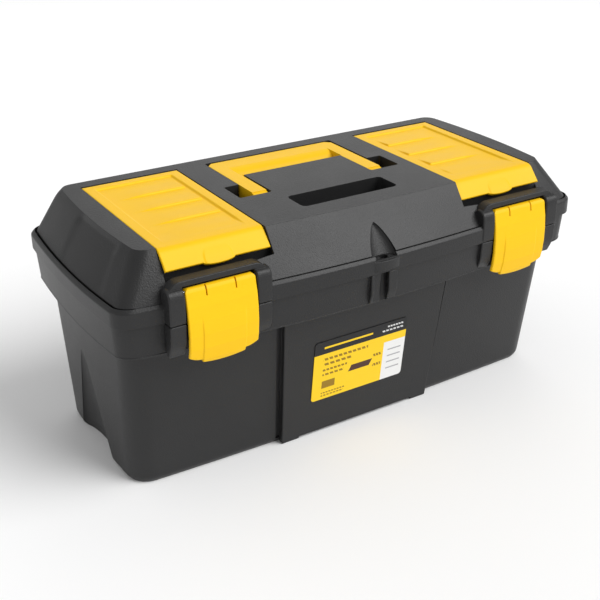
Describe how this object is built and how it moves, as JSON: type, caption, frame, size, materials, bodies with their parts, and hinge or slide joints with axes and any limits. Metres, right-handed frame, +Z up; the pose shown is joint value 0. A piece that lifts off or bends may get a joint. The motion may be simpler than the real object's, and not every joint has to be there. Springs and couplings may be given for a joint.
{
  "type": "toolbox with tray",
  "caption": "Portable moulded plastic toolbox with a hinged lid, two front latches, a fold-flat handle, two covered organisers in the lid and a lift-out tray.",
  "frame": {"origin": "on the ground, at the middle of the box's overall length and depth", "axes": "+X to the right as seen when facing the latches, -Y towards the latches, +Z up"},
  "size_m": [0.4826, 0.232, 0.22],
  "materials": {
    "black_plastic": "charcoal-black moulded plastic with a fine grain, satin",
    "yellow_plastic": "warm yellow moulded plastic, satin",
    "steel": "plain hinge wire; guessed, since no pin shows",
    "label": null
  },
  "bodies": {
    "tub": {"tub": "black_plastic", "front_label": "label", "lid_hinge_pin_left": "steel", "lid_hinge_pin_right": "steel"},
    "lid": {"lid": "black_plastic", "organiser_hinge_pin_left": "steel", "organiser_hinge_pin_right": "steel", "latch_pin_left": "steel", "latch_pin_right": "steel", "handle_pin_left": "steel", "handle_pin_right": "steel"},
    "organiser_cover_left": {"organiser_cover_left": "yellow_plastic"},
    "organiser_cover_right": {"organiser_cover_right": "yellow_plastic"},
    "handle": {"handle": "yellow_plastic"},
    "latch_left": {"latch_left": "yellow_plastic"},
    "latch_right": {"latch_right": "yellow_plastic"},
    "tray": {"tray": "black_plastic"}
  },
  "joints": [
    {"name": "lid_hinge", "type": "hinge", "parent": "tub", "child": "lid", "pos_m": [0, 0.112, 0.1684], "axis": [-1, 0, 0], "range_deg": [0, 100]},
    {"name": "handle_fold", "type": "hinge", "parent": "lid", "child": "handle", "pos_m": [0, -0.005, 0.2115], "axis": [1, 0, 0], "range_deg": [0, 90]},
    {"name": "organiser_hinge_left", "type": "hinge", "parent": "lid", "child": "organiser_cover_left", "pos_m": [-0.14475, 0.0822, 0.2175], "axis": [-1, 0, 0], "range_deg": [0, 100]},
    {"name": "organiser_hinge_right", "type": "hinge", "parent": "lid", "child": "organiser_cover_right", "pos_m": [0.14475, 0.0822, 0.2175], "axis": [-1, 0, 0], "range_deg": [0, 100]},
    {"name": "latch_swing_left", "type": "hinge", "parent": "lid", "child": "latch_left", "pos_m": [-0.1535, -0.104, 0.1925], "axis": [-1, 0, 0], "range_deg": [0, 95]},
    {"name": "latch_swing_right", "type": "hinge", "parent": "lid", "child": "latch_right", "pos_m": [0.1535, -0.104, 0.1925], "axis": [-1, 0, 0], "range_deg": [0, 95]},
    {"name": "tray_lift", "type": "slide", "parent": "tub", "child": "tray", "axis": [0, 0, 1], "range_m": [0, 0.014]}
  ]
}
